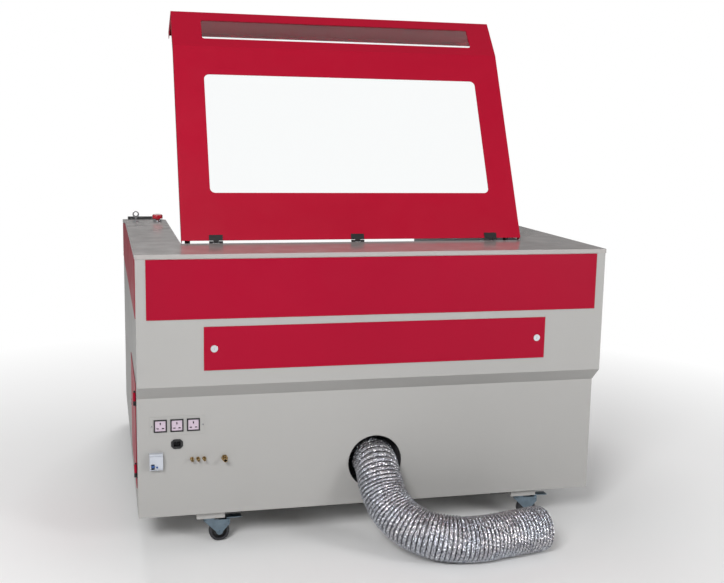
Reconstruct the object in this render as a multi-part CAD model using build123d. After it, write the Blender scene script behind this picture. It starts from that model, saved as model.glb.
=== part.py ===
from build123d import *
import math
import os

# Floor-standing laser engraving and cutting machine on castors.
# Millimetres, +Z up, floor at Z 0. Every sub-part is drawn about a point under the cabinet's
# middle, and save() moves it so that the origin is under the middle of the whole part's
# bounding box, which the exhaust duct makes longer towards the rear.
# The operator stands on the -Y side. The exhaust duct leaves from the rear, +Y.
# Modelled with the lid open at its rest angle.

# ---- driving dimensions -------------------------------------------------
WIDTH = 1700.0
DEPTH = 1750.0
BODY_HEIGHT = 936.0
FLOOR_GAP = 128.0
SHEET = 2.0

SEAM_HEIGHT = 638.0
BEVEL_LOW = 430.0
BEVEL_HIGH = 481.0
BEVEL_INSET = 55.0
STRIPE_LOW = 714.0
STRIPE_HIGH = 919.0
STRIPE_MARGIN = 34.0
FLAT_TOP_DEPTH = 1210.0
NOSE_DROP = 49.0
LIP = 15.0

LID_LEFT = -639.0
LID_RIGHT = 674.0
BAY_GAP = 3.0
HINGE_Y = 570.0
LID_MAIN = 800.0
LID_NOSE = 177.0
LID_NOSE_ANGLE = 13.5
LID_SKIRT = 160.0
LID_OPEN = 64.0
LID_FLANGE = 30.0
PANE = 3.0

HOLE_RADIUS = 100.0
HOLE_HEIGHT = 282.0
DUCT_RADIUS = 80.0
DUCT_WALL = 4.0
DUCT_END = 110.0
DUCT_CLEARANCE = 2.0
DUCT_SECTIONS = 5

CHAMBER_FLOOR = 600.0
SHELF_TOP = 603.0
BEAM_HEIGHT = 739.0
TUBE_Y = 725.0
TUBE_RADIUS = 40.0
RUN_GAP = 0.05

WHEEL_RADIUS = 37.5
WHEEL_WIDTH = 28.0
CASTOR_TRAIL = 34.0
CASTOR_X = 597.0
CASTOR_Y = 752.0

ORIGIN_X = 4.5
ORIGIN_Y = 141.8

# ---- derived places -----------------------------------------------------
X_SIDE = WIDTH / 2
Y_REAR = DEPTH / 2
Y_FRONT = -DEPTH / 2
Y_LOW = Y_REAR - BEVEL_INSET
Z_BASE = FLOOR_GAP
Z_TOP = FLOOR_GAP + BODY_HEIGHT
Z_SEAM = FLOOR_GAP + SEAM_HEIGHT
Y_BREAK = Y_REAR - FLAT_TOP_DEPTH
Z_NOSE = Z_TOP - NOSE_DROP
TOP_SLOPE = NOSE_DROP / (Y_BREAK - Y_FRONT)
HINGE_Z = Z_TOP + 4.0
BAY_LEFT = LID_LEFT - BAY_GAP
BAY_RIGHT = LID_RIGHT + BAY_GAP
LID_REACH = LID_MAIN + LID_NOSE * math.cos(math.radians(LID_NOSE_ANGLE))
LID_FALL = LID_NOSE * math.sin(math.radians(LID_NOSE_ANGLE))
CHAMBER_FRONT = HINGE_Y - LID_REACH - 6.0
CHAMBER_REAR = HINGE_Y + 4.0
DECK_TOP = HINGE_Z - LID_FALL - LID_SKIRT - 3.0
HINGE_AXIS = Axis((0, HINGE_Y, HINGE_Z), (-1, 0, 0))


# ---- helpers ------------------------------------------------------------
def block(x, y, z):
    """A box from three (low, high) pairs."""
    size = [pair[1] - pair[0] for pair in (x, y, z)]
    centre = [(pair[0] + pair[1]) / 2 for pair in (x, y, z)]
    return Pos(*centre) * Box(*size)


def centred(centre, size):
    """A box from its centre and its size."""
    return Pos(*centre) * Box(*size)


def rod(centre, radius, length, axis="z"):
    """A cylinder centred on a point, along the named axis."""
    turn = {"x": (0, 90, 0), "y": (90, 0, 0), "z": (0, 0, 0)}[axis]
    return Pos(*centre) * Rot(*turn) * Cylinder(radius, length)


def ring(centre, outer, inner, length, axis="z"):
    """A plain tube centred on a point."""
    return rod(centre, outer, length, axis) - rod(centre, inner, length + 2, axis)


def side_profile(points, x_low, x_high):
    """A solid whose (Y, Z) outline is extruded along X."""
    face = make_face(Polyline(*[(0, y, z) for y, z in points], close=True))
    return Pos(x_low, 0, 0) * extrude(face, amount=x_high - x_low, dir=(1, 0, 0))


def group(parts):
    """Separate solids that share one node."""
    return Compound(children=list(parts))


def save(name, shape):
    """Writes one sub-part, moved into the part's own frame."""
    shift = Pos(-ORIGIN_X, -ORIGIN_Y, 0)
    export_step(group(shift * solid for solid in shape.solids()), f"parts/{name}.step")


# ---- cabinet shells -----------------------------------------------------
REAR_DOOR_X = (-622.0, 625.0)
REAR_DOOR_Z = (Z_BASE + 535.0, Z_BASE + 687.0)
SIDE_DOOR_Y = (255.0, 760.0)
SIDE_DOOR_Z = (Z_BASE + 90.0, Z_BASE + 470.0)
FRONT_DOOR_X = (-450.0, 450.0)
FRONT_DOOR_Z = (Z_BASE + 104.0, Z_BASE + 424.0)
FRONT_HINGE = (Y_FRONT - 6.0, FRONT_DOOR_Z[0] - 8.0)
DOOR_OVERLAP = 14.0

ESTOP = (717.0, -236.0)
ESTOP_HOLE = 11.0
KEY = (809.0, -232.0)
KEY_HOLE = 9.5
SOCKET_X = (771.5, 714.7, 657.9)
SOCKET_Z = 459.0
SOCKET_SIZE = 45.0
INLET = (714.7, 391.5)
BREAKER = (787.5, 334.4)
BARB_X = (663.6, 642.7, 621.1)
BARB_Z = 334.5
BARB_HOLE = 5.0
GLAND = (549.8, 332.0)
GLAND_HOLE = 8.0


def base_profile(inset, z_low, z_high):
    """Outline of the base, with the rear bevel, moved in by the sheet thickness."""
    rear = Y_REAR - inset
    low_rear = Y_LOW - inset
    return [
        (Y_FRONT + inset, z_low),
        (low_rear, z_low),
        (low_rear, Z_BASE + BEVEL_LOW),
        (rear, Z_BASE + BEVEL_HIGH),
        (rear, z_high),
        (Y_FRONT + inset, z_high),
    ]


def rear_door_opening():
    """The access opening behind the rear door, through both shells."""
    return block(
        (REAR_DOOR_X[0] + DOOR_OVERLAP, REAR_DOOR_X[1] - DOOR_OVERLAP),
        (Y_REAR - 20, Y_REAR + 20),
        (REAR_DOOR_Z[0] + DOOR_OVERLAP, REAR_DOOR_Z[1] - DOOR_OVERLAP),
    )


def rear_fitting_holes():
    """Holes in the lower rear face for the sockets, inlet, breaker and fittings."""
    holes = [rod((0, Y_LOW, HOLE_HEIGHT), HOLE_RADIUS, 40, "y")]
    for x in SOCKET_X:
        holes.append(centred((x, Y_LOW, SOCKET_Z), (40, 40, 40)))
    holes.append(centred((INLET[0], Y_LOW, INLET[1]), (30, 40, 24)))
    holes.append(centred((BREAKER[0], Y_LOW, BREAKER[1]), (40, 40, 52)))
    for x in BARB_X:
        holes.append(rod((x, Y_LOW, BARB_Z), BARB_HOLE, 40, "y"))
    holes.append(rod((GLAND[0], Y_LOW, GLAND[1]), GLAND_HOLE, 40, "y"))
    return holes


def base_shell():
    outer = side_profile(base_profile(0, Z_BASE, Z_SEAM), -X_SIDE, X_SIDE)
    inner = side_profile(
        base_profile(SHEET, Z_BASE + SHEET, Z_SEAM + 1), -X_SIDE + SHEET, X_SIDE - SHEET
    )
    shell = outer - inner - rear_door_opening()
    for hole in rear_fitting_holes():
        shell -= hole
    side_opening = block(
        (X_SIDE - 20, X_SIDE + 20),
        (SIDE_DOOR_Y[0] + DOOR_OVERLAP, SIDE_DOOR_Y[1] - DOOR_OVERLAP),
        (SIDE_DOOR_Z[0] + DOOR_OVERLAP, CHAMBER_FLOOR - 44),
    )
    front_opening = block(
        (FRONT_DOOR_X[0] + DOOR_OVERLAP, FRONT_DOOR_X[1] - DOOR_OVERLAP),
        (Y_FRONT - 20, Y_FRONT + 20),
        (FRONT_DOOR_Z[0] + DOOR_OVERLAP, FRONT_DOOR_Z[1] - DOOR_OVERLAP),
    )
    return shell - side_opening - front_opening


def top_outline(drop, inset=0.0):
    """(Y, Z) points of the cabinet's top line: flat, then falling to the nose."""
    front = Y_FRONT + inset
    return [
        (front, Z_NOSE - drop + inset * TOP_SLOPE),
        (Y_BREAK, Z_TOP - drop),
        (Y_REAR - inset, Z_TOP - drop),
    ]


def bay(z_low, z_high):
    """The open bay between the cheeks, under the lid and over the front deck."""
    return block((BAY_LEFT, BAY_RIGHT), (Y_FRONT - 20, CHAMBER_REAR), (z_low, z_high))


def upper_shell():
    """Rear, sides and cheek fronts of the upper box, as one folded sheet."""
    low = [(Y_REAR, Z_SEAM), (Y_FRONT, Z_SEAM)]
    outer = side_profile(top_outline(SHEET) + low, -X_SIDE, X_SIDE)
    hollow_low = [(Y_REAR - SHEET, Z_SEAM - 1), (Y_FRONT + SHEET, Z_SEAM - 1)]
    hollow = side_profile(
        [
            (Y_FRONT + SHEET, Z_TOP + 5),
            (Y_REAR - SHEET, Z_TOP + 5),
        ]
        + hollow_low,
        -X_SIDE + SHEET,
        X_SIDE - SHEET,
    )
    shell = outer - hollow - rear_door_opening()
    return shell - bay(DECK_TOP, Z_TOP + 5)


def top_plate():
    """Tray-shaped top sheet: flat at the rear, sloping on the cheeks, with a folded lip."""
    points = top_outline(0)
    lip = SHEET
    outer = side_profile(
        [
            (Y_FRONT - lip, Z_NOSE - lip * TOP_SLOPE),
            (Y_BREAK, Z_TOP),
            (Y_REAR + lip, Z_TOP),
            (Y_REAR + lip, Z_TOP - LIP),
            (Y_BREAK, Z_TOP - LIP),
            (Y_FRONT - lip, Z_NOSE - lip * TOP_SLOPE - LIP),
        ],
        -X_SIDE - lip,
        X_SIDE + lip,
    )
    under = side_profile(
        [(y, z - SHEET) for y, z in points]
        + [(y, z - LIP - 5) for y, z in reversed(points)],
        -X_SIDE,
        X_SIDE,
    )
    plate = outer - under - bay(Z_SEAM, Z_TOP + 5)
    plate -= rod((*ESTOP, Z_TOP), ESTOP_HOLE, 20)
    return plate - rod((*KEY, Z_TOP), KEY_HOLE, 20)


def stripe_panels():
    """Three red overlay panels: the rear one and one on each side."""
    z = (Z_BASE + STRIPE_LOW, Z_BASE + STRIPE_HIGH)
    rear = block(
        (-X_SIDE + STRIPE_MARGIN, X_SIDE - STRIPE_MARGIN), (Y_REAR, Y_REAR + SHEET), z
    )
    front_y = Y_FRONT + STRIPE_MARGIN
    rear_y = Y_REAR - STRIPE_MARGIN
    front_top = z[1] - (Y_BREAK - front_y) * TOP_SLOPE
    outline = [(front_y, z[0]), (rear_y, z[0]), (rear_y, z[1])]
    outline += [(Y_BREAK, z[1]), (front_y, front_top)]
    right = side_profile(outline, X_SIDE, X_SIDE + SHEET)
    left = side_profile(outline, -X_SIDE - SHEET, -X_SIDE)
    return group([rear, right, left])


def front_deck():
    """Loading shelf between the cheeks, in front of the lid's skirt."""
    top = block(
        (BAY_LEFT, BAY_RIGHT),
        (Y_FRONT, CHAMBER_FRONT - SHEET),
        (DECK_TOP, DECK_TOP + SHEET),
    )
    apron = block(
        (BAY_LEFT, BAY_RIGHT), (Y_FRONT - SHEET, Y_FRONT), (DECK_TOP - 40, DECK_TOP + SHEET)
    )
    return top + apron


def work_chamber():
    """Inner tub: two cheek walls, rear and front walls, and the floor with its exhaust slot."""
    front = Y_FRONT + SHEET
    wall_outline = [
        (front, DECK_TOP + SHEET),
        (front, Z_NOSE - SHEET),
        (Y_BREAK, Z_TOP - SHEET),
        (CHAMBER_REAR, Z_TOP - SHEET),
        (CHAMBER_REAR, CHAMBER_FLOOR),
        (CHAMBER_FRONT - SHEET, CHAMBER_FLOOR),
        (CHAMBER_FRONT - SHEET, DECK_TOP + SHEET),
    ]
    right = side_profile(wall_outline, BAY_RIGHT, BAY_RIGHT + SHEET)
    left = side_profile(wall_outline, BAY_LEFT - SHEET, BAY_LEFT)
    across = (BAY_LEFT - SHEET, BAY_RIGHT + SHEET)
    rear = block(
        across, (CHAMBER_REAR, CHAMBER_REAR + SHEET), (CHAMBER_FLOOR, Z_TOP - SHEET)
    )
    front_wall = block(
        (BAY_LEFT, BAY_RIGHT), (CHAMBER_FRONT - SHEET, CHAMBER_FRONT), (CHAMBER_FLOOR, DECK_TOP)
    )
    floor = block(
        across, (CHAMBER_FRONT - SHEET, CHAMBER_REAR + SHEET), (CHAMBER_FLOOR, CHAMBER_FLOOR + SHEET)
    )
    tub = right + left + rear + front_wall + floor
    tub -= rod((BEAM_X, CHAMBER_REAR, BEAM_HEIGHT), 12.0, 30, "y")
    return tub - block((-150, 150), (430, 520), (CHAMBER_FLOOR - 5, CHAMBER_FLOOR + 5))


def base_frame():
    """Welded frame of square tube under the chamber, open at the upright tops."""
    tube = 40.0
    wall = 3.0
    x_out = X_SIDE - SHEET
    y_low = Y_FRONT + SHEET
    y_high = Y_LOW - SHEET
    z_low = Z_BASE + SHEET
    z_high = CHAMBER_FLOOR

    def members(inset, cap):
        """All the tubes, moved in by the wall thickness for the hollow."""
        out = []
        for x in (-x_out, x_out - tube):
            span = (x + inset, x + tube - inset)
            for y in (y_low, y_high - tube):
                out.append(
                    block(span, (y + inset, y + tube - inset), (z_low + inset, z_high + cap))
                )
            for z in (z_low, z_high - tube):
                out.append(
                    block(span, (y_low + inset, y_high - inset), (z + inset, z + tube - inset))
                )
        for y in (y_low, -320.0, 300.0, y_high - tube):
            for z in (z_low, z_high - tube):
                out.append(
                    block(
                        (-x_out + inset, x_out - inset),
                        (y + inset, y + tube - inset),
                        (z + inset, z + tube - inset),
                    )
                )
        return out

    frame = Part() + members(0, 0)
    return frame - (Part() + members(wall, 1.0))


# ---- doors and locks ----------------------------------------------------
DOOR_SHEET = 2.0
DOOR_RETURN = 12.0
LOCK_RADIUS = 10.0
LOCK_X = (-590.0, 590.0)
LOCK_Z = Z_BASE + 611.0
SIDE_LOCK = (290.0, Z_BASE + 280.0)
SIDE_HINGE_Y = SIDE_DOOR_Y[1] + 6.0
FRONT_HINGES_X = (-330.0, 330.0)


def rear_door():
    """Lift-off rear door: a flat overlay sheet with an inner return that sits in the opening."""
    face_y = (Y_REAR, Y_REAR + DOOR_SHEET)
    face = block(REAR_DOOR_X, face_y, REAR_DOOR_Z)
    clear = DOOR_OVERLAP + 3.0
    x = (REAR_DOOR_X[0] + clear, REAR_DOOR_X[1] - clear)
    z = (REAR_DOOR_Z[0] + clear, REAR_DOOR_Z[1] - clear)
    back = (Y_REAR - DOOR_RETURN, Y_REAR)
    rim = block(x, back, z) - block(
        (x[0] + SHEET, x[1] - SHEET), (back[0] - 1, Y_REAR), (z[0] + SHEET, z[1] - SHEET)
    )
    door = face + rim
    for lock_x in LOCK_X:
        door -= rod((lock_x, Y_REAR, LOCK_Z), LOCK_RADIUS + RUN_GAP, 30, "y")
    return door


def cam_lock(x, y, z, outward, tongue):
    """A round cam lock: flanged barrel with a key slot, and a flat cam at its inner end.
    outward is "x" or "y". tongue is the unit step from the barrel to the cam's end."""
    along = Vector(1, 0, 0) if outward == "x" else Vector(0, 1, 0)
    centre = Vector(x, y, z)
    face = centre + along * DOOR_SHEET
    head = rod(face + along * 1.5, LOCK_RADIUS + 2.5, 3.0, outward)
    barrel = rod(centre - along * 8.5, LOCK_RADIUS, 21.0, outward)
    size = Vector(1, 1, 1) * 16.0 + Vector(*tongue) * 22.0
    flat = [
        3.0 if abs(a) > 0.5 else s
        for a, s in zip((along.X, along.Y, along.Z), (size.X, size.Y, size.Z))
    ]
    cam_centre = centre - along * 20.5 + Vector(*tongue) * 11.0
    cam = centred(cam_centre, flat)
    slot_size = [5.0 if abs(a) > 0.5 else 1.6 for a in (along.X, along.Y, along.Z)]
    slot_size[2] = 9.0
    return head + barrel + cam - centred(face + along * 3.0, slot_size)


def side_door():
    """Right-hand door on the electronics bay, hinged on its rear edge."""
    face = block((X_SIDE + 1, X_SIDE + 1 + DOOR_SHEET), SIDE_DOOR_Y, SIDE_DOOR_Z)
    hinge_x = X_SIDE + 6.0
    for z in (SIDE_DOOR_Z[0] + 60, SIDE_DOOR_Z[1] - 60):
        leaf = block((X_SIDE + 1, X_SIDE + 3), (SIDE_DOOR_Y[1] - 1, SIDE_HINGE_Y), (z, z + 30))
        knuckle = ring((hinge_x, SIDE_HINGE_Y, z + 15), 5.0, 3.0 + RUN_GAP, 30)
        face += leaf + knuckle - rod((hinge_x, SIDE_HINGE_Y, z + 15), 3.0 + RUN_GAP, 40)
    return face - rod((X_SIDE, SIDE_LOCK[0], SIDE_LOCK[1]), LOCK_RADIUS + RUN_GAP, 30, "x")


def front_door():
    """Drop-down door on the front of the base, with a bar handle."""
    hinge_y, hinge_z = FRONT_HINGE
    door = block(FRONT_DOOR_X, (Y_FRONT - 1 - DOOR_SHEET, Y_FRONT - 1), FRONT_DOOR_Z)
    for x in FRONT_HINGES_X:
        span = (x - 15, x + 15)
        door += block(span, (Y_FRONT - 3, Y_FRONT - 1), (hinge_z, FRONT_DOOR_Z[0] + 1))
        door += rod((x, hinge_y, hinge_z), 5.0, 30.0, "x")
        door -= rod((x, hinge_y, hinge_z), 3.0 + RUN_GAP, 40.0, "x")
    grip_z = FRONT_DOOR_Z[1] - 45.0
    door += rod((0, Y_FRONT - 33, grip_z), 7.0, 170.0, "x")
    for x in (-70.0, 70.0):
        door += rod((x, Y_FRONT - 18, grip_z), 6.0, 30.0, "y")
    return door


def front_hinge_pins():
    """Fixed pins of the front door's hinges, each with a knuckle and a leaf on the cabinet."""
    hinge_y, hinge_z = FRONT_HINGE
    pins = []
    for x in FRONT_HINGES_X:
        pin = rod((x - 5, hinge_y, hinge_z), 3.0, 52.0, "x")
        pin += rod((x - 23.1, hinge_y, hinge_z), 5.0, 16.0, "x")
        leaf = ((x - 31, x - 15.2), (Y_FRONT - 3, Y_FRONT), (hinge_z - 16, hinge_z + 3))
        pins.append(pin + block(*leaf))
    return pins


def side_hinge_pins():
    """Fixed pins of the side door's hinges, each with a knuckle and a leaf on the cabinet."""
    hinge_x = X_SIDE + 6.0
    pins = []
    for z in (SIDE_DOOR_Z[0] + 60, SIDE_DOOR_Z[1] - 60):
        pin = rod((hinge_x, SIDE_HINGE_Y, z + 10), 3.0, 52)
        knuckle = rod((hinge_x, SIDE_HINGE_Y, z - 8.1), 5.0, 16)
        leaf = block((X_SIDE, X_SIDE + 3), (SIDE_HINGE_Y - 3, SIDE_HINGE_Y + 16), (z - 16, z - 0.2))
        pins.append(pin + knuckle + leaf)
    return pins


# ---- lid ----------------------------------------------------------------
WINDOW_S = (193.0, 680.0)
WINDOW_X = (-531.8, 561.3)
WINDOW_CORNER = 20.0
SLOT_S = (40.0, 136.0)
SLOT_X = (-538.0, 560.0)
LID_HINGES_X = (17.5 - 532.0, 17.5, 17.5 + 532.0)
HINGE_LEAF = 50.0
KNUCKLE = 4.0


def lid_point(u, v):
    """(Y, Z) of a place on the closed lid: u forwards from the hinge, v upwards."""
    return (HINGE_Y - u, HINGE_Z + v)


def nose_point(s, v):
    """(Y, Z) of a place on the closed lid's sloping front panel."""
    a = math.radians(LID_NOSE_ANGLE)
    return lid_point(
        LID_MAIN + s * math.cos(a) + v * math.sin(a), -s * math.sin(a) + v * math.cos(a)
    )


def opened(shape):
    """Turns a closed lid piece to the rest angle."""
    return shape.rotate(HINGE_AXIS, LID_OPEN)


def lid_outline(inset, skirt):
    """Outer line of the lid's sheet, moved in by the sheet thickness."""
    a = math.radians(LID_NOSE_ANGLE)
    corner = -LID_FALL + inset * math.tan(a) - inset / math.cos(a)
    return [
        lid_point(6.0, -inset),
        nose_point(-inset * math.tan(a / 2), -inset),
        lid_point(LID_REACH - inset, corner),
        lid_point(LID_REACH - inset, -LID_FALL - skirt),
    ]


def lid_shell():
    """Folded lid: main panel, sloping nose, skirt, side flanges, window and slot."""
    sheet = side_profile(
        lid_outline(0, LID_SKIRT) + list(reversed(lid_outline(SHEET, LID_SKIRT))),
        LID_LEFT,
        LID_RIGHT,
    )
    flange_line = lid_outline(SHEET, LID_SKIRT) + list(
        reversed(
            [
                lid_point(6.0, -LID_FLANGE),
                nose_point(-4.0, -LID_FLANGE),
                lid_point(LID_REACH - LID_FLANGE, -LID_FALL - LID_FLANGE),
                lid_point(LID_REACH - LID_FLANGE, -LID_FALL - LID_SKIRT),
            ]
        )
    )
    flanges = side_profile(flange_line, LID_LEFT, LID_LEFT + SHEET) + side_profile(
        flange_line, LID_RIGHT - SHEET, LID_RIGHT
    )
    hem = block(
        (LID_LEFT + SHEET, LID_RIGHT - SHEET),
        (HINGE_Y - LID_REACH + SHEET, HINGE_Y - LID_REACH + 16.0),
        (HINGE_Z - LID_FALL - LID_SKIRT, HINGE_Z - LID_FALL - LID_SKIRT + SHEET),
    )
    shell = sheet + flanges + hem + lid_strut_tabs()
    cut_window = Box(WINDOW_X[1] - WINDOW_X[0], WINDOW_S[1] - WINDOW_S[0], 30)
    cut_window = fillet(cut_window.edges().filter_by(Axis.Z), WINDOW_CORNER)
    y, z = lid_point(sum(WINDOW_S) / 2, 0)
    shell -= Pos(sum(WINDOW_X) / 2, y, z) * cut_window
    cut_slot = Box(SLOT_X[1] - SLOT_X[0], SLOT_S[1] - SLOT_S[0], 24)
    cut_slot = fillet(cut_slot.edges().filter_by(Axis.Z), 9.0)
    y, z = nose_point(sum(SLOT_S) / 2, 0)
    shell -= Pos(sum(SLOT_X) / 2, y, z) * Rot(LID_NOSE_ANGLE, 0, 0) * cut_slot
    return opened(shell)


def lid_panes():
    """Two clear acrylic panes bonded under the window and the slot."""
    margin = 20.0
    y, z = lid_point(sum(WINDOW_S) / 2, -SHEET - PANE / 2)
    window = Pos(sum(WINDOW_X) / 2, y, z) * Box(
        WINDOW_X[1] - WINDOW_X[0] + 2 * margin, WINDOW_S[1] - WINDOW_S[0] + 2 * margin, PANE
    )
    y, z = nose_point(sum(SLOT_S) / 2, -SHEET - PANE / 2)
    slot = Pos(sum(SLOT_X) / 2, y, z) * Rot(LID_NOSE_ANGLE, 0, 0) * Box(
        SLOT_X[1] - SLOT_X[0] + 2 * margin, SLOT_S[1] - SLOT_S[0] + 2 * margin, PANE
    )
    return group([opened(window), opened(slot)])


def lid_hinge_leaves():
    """Moving leaves of the three lid hinges: a flat leaf on the lid and its knuckle."""
    leaves = []
    for x in LID_HINGES_X:
        span = (x - HINGE_LEAF / 2, x + HINGE_LEAF / 2)
        leaf = block(span, (HINGE_Y - 27.0, HINGE_Y - 5.0), (HINGE_Z, HINGE_Z + SHEET))
        leaf += block((x - 10, x + 10), (HINGE_Y - 6.0, HINGE_Y), (HINGE_Z, HINGE_Z + SHEET))
        leaf += rod((x, HINGE_Y, HINGE_Z), KNUCKLE, 20.0, "x")
        leaves.append(opened(leaf - rod((x, HINGE_Y, HINGE_Z), 1.5 + RUN_GAP, 60, "x")))
    return group(leaves)


def lid_hinge_pins():
    """Fixed halves of the lid hinges: the pin, two knuckles and a leaf behind the bay's rim."""
    halves = []
    for x in LID_HINGES_X:
        half = rod((x, HINGE_Y, HINGE_Z), 1.5, HINGE_LEAF, "x")
        for side in (-1, 1):
            centre = x + side * 18.0
            half += rod((centre, HINGE_Y, HINGE_Z), KNUCKLE - 0.5, 14.0, "x")
            half += block((centre - 7, centre + 7), (HINGE_Y, CHAMBER_REAR), (HINGE_Z - 30, HINGE_Z))
        halves.append(half)
    return halves


def hinge_pins():
    """The fixed halves of the lid's, side door's and front door's hinges."""
    return group(lid_hinge_pins() + side_hinge_pins() + front_hinge_pins())


def lid_handle():
    """Bar handle on the skirt's outer face."""
    y = HINGE_Y - LID_REACH
    z = HINGE_Z - LID_FALL - 105.0
    grip = rod((17.5, y - 34.0, z), 8.0, 190.0, "x")
    for x in (17.5 - 80.0, 17.5 + 80.0):
        grip += rod((x, y - 17.0, z), 7.0, 34.0, "y")
    return opened(grip)


# ---- gas struts ---------------------------------------------------------
STRUT_U = 60.0
STRUT_V = -220.0
STUD_U = 220.0
STUD_V = -28.0
STRUT_X = {"right": 646.0, "left": -611.0}
STRUT_TAB = {"right": (656.5, 660.5), "left": (-625.5, -621.5)}
TUBE_LENGTH = 228.0
ROD_LENGTH = 222.0
STRUT_STUD = 4.0


def strut_ends():
    """(Y, Z) of the strut's cabinet end, and of its lid end with the lid at rest."""
    a = math.radians(LID_OPEN)
    u = STUD_U * math.cos(a) - STUD_V * math.sin(a)
    v = STUD_U * math.sin(a) + STUD_V * math.cos(a)
    return Vector(0, *lid_point(STRUT_U, STRUT_V)), Vector(0, *lid_point(u, v))


def along_strut(x, start, stop, radius):
    """A cylinder on the strut's line, between two distances from its cabinet end."""
    foot, eye = strut_ends()
    line = (eye - foot).normalized()
    plane = Plane(origin=Vector(x, foot.Y, foot.Z) + line * start, z_dir=line)
    return plane * Cylinder(radius, stop - start, align=(Align.CENTER, Align.CENTER, Align.MIN))


def strut_cylinder(x):
    """Gas strut's cylinder: bored tube with an eye that turns on the cabinet's stud."""
    foot, _ = strut_ends()
    centre = (x, foot.Y, foot.Z)
    body = along_strut(x, 8.0, TUBE_LENGTH, 10.0) + rod(centre, 10.0, 16.0, "x")
    body -= along_strut(x, 24.0, TUBE_LENGTH + 5, 4.0 + RUN_GAP)
    return body - rod(centre, STRUT_STUD + RUN_GAP, 40.0, "x")


def strut_rod(x):
    """Gas strut's rod, with the flat eye at its lid end."""
    foot, eye = strut_ends()
    reach = (eye - foot).length
    shaft = along_strut(x, reach - ROD_LENGTH, reach - 4.0, 4.0)
    end = rod((x, eye.Y, eye.Z), 9.0, 12.0, "x")
    return shaft + end - rod((x, eye.Y, eye.Z), 3.0, 30.0, "x")


def strut_anchors():
    """Studs on the chamber's side walls that carry the struts' lower eyes."""
    foot, _ = strut_ends()
    studs = []
    for side, wall in (("right", BAY_RIGHT), ("left", BAY_LEFT)):
        x = STRUT_X[side]
        inward = -1 if side == "right" else 1
        tip = x + inward * 9.0
        length = abs(wall - tip)
        stud = rod(((wall + tip) / 2, foot.Y, foot.Z), STRUT_STUD, length, "x")
        washer = rod((x - inward * 15.5, foot.Y, foot.Z), 9.0, 9.0, "x")
        studs.append(stud + washer)
    return group(studs)


def lid_strut_tabs():
    """Small welded tabs under the closed lid, beside the struts' upper eyes."""
    y, z = lid_point(STUD_U, -SHEET)
    return [block(span, (y - 16, y + 16), (z - 38, z + 1)) for span in STRUT_TAB.values()]


# ---- rear fittings ------------------------------------------------------
def socket_plate():
    plate = block((619.0, 807.5), (Y_LOW, Y_LOW + 1.5), (424.0, 491.0))
    for x in SOCKET_X:
        plate -= centred((x, Y_LOW, SOCKET_Z), (40, 20, 40))
    return plate


def sockets():
    """Three power sockets: a square frame round a recessed insert with three pin holes."""
    out = []
    face = Y_LOW + 1.5
    for x in SOCKET_X:
        body = centred((x, face + 1.5, SOCKET_Z), (SOCKET_SIZE, 3.0, SOCKET_SIZE))
        body += block((x - 19, x + 19), (Y_LOW - 28, face), (SOCKET_Z - 19, SOCKET_Z + 19))
        body -= centred((x, face + 3.0, SOCKET_Z), (36, 3.0, 36))
        body -= centred((x, face, SOCKET_Z + 8), (4, 30, 8))
        for side in (-1, 1):
            body -= centred((x + side * 9, face, SOCKET_Z - 9), (8, 30, 4))
        out.append(body)
    return group(out)


def power_inlet():
    """Appliance inlet: flange with cut corners, a recess and three blades."""
    x, z = INLET
    flange = centred((x, Y_LOW + 1.5, z), (41, 3, 34))
    flange = chamfer(flange.edges().filter_by(Axis.Y), 9.0)
    body = flange + block((x - 14, x + 14), (Y_LOW - 20, Y_LOW), (z - 11, z + 11))
    body -= block((x - 12, x + 12), (Y_LOW - 16, Y_LOW + 5), (z - 9, z + 9))
    for dx, dz in ((-6.5, -2.0), (0.0, 2.5), (6.5, -2.0)):
        body += block((x + dx - 1, x + dx + 1), (Y_LOW - 18, Y_LOW - 2), (z + dz - 2, z + dz + 2))
    return body


BREAKER_PROUD = 24.0
TOGGLE = (BREAKER[0] + 12.0, BREAKER[1] - 16.0)
TEST = (BREAKER[0] - 2.2, BREAKER[1] - 16.0)
TOGGLE_AXIS_Y = Y_LOW + 16.0


def breaker_body():
    """Residual-current breaker, standing out of the rear face, with wells for its toggle and button."""
    x, z = BREAKER
    body = block((x - 23, x + 23), (Y_LOW, Y_LOW + BREAKER_PROUD - 6), (z - 29, z + 29))
    body += block((x - 23, x + 23), (Y_LOW, Y_LOW + BREAKER_PROUD), (z - 22, z + 22))
    body += block((x - 19, x + 19), (Y_LOW - 40, Y_LOW), (z - 25, z + 25))
    body -= block(
        (TOGGLE[0] - 6, TOGGLE[0] + 6), (Y_LOW + 6, Y_LOW + 60), (TOGGLE[1] - 11, TOGGLE[1] + 11)
    )
    body -= rod((TOGGLE[0], TOGGLE_AXIS_Y, TOGGLE[1]), 1.5, 16.0, "x")
    return body - block(
        (TEST[0] - 3.3, TEST[0] + 3.3), (Y_LOW + 14, Y_LOW + 60), (TEST[1] - 3.3, TEST[1] + 3.3)
    )


def breaker_toggle():
    x, z = TOGGLE
    lever = rod((x, TOGGLE_AXIS_Y, z), 5.0, 11.0, "x")
    handle = block((x - 5.5, x + 5.5), (TOGGLE_AXIS_Y, TOGGLE_AXIS_Y + 17), (z - 3, z + 3))
    handle = handle.rotate(Axis((x, TOGGLE_AXIS_Y, z), (1, 0, 0)), 20.0)
    return lever + handle + rod((x, TOGGLE_AXIS_Y, z), 1.5 - RUN_GAP, 15.0, "x")


def breaker_test_button():
    x, z = TEST
    return block((x - 3, x + 3), (Y_LOW + 18, Y_LOW + BREAKER_PROUD + 2), (z - 3, z + 3))


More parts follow.
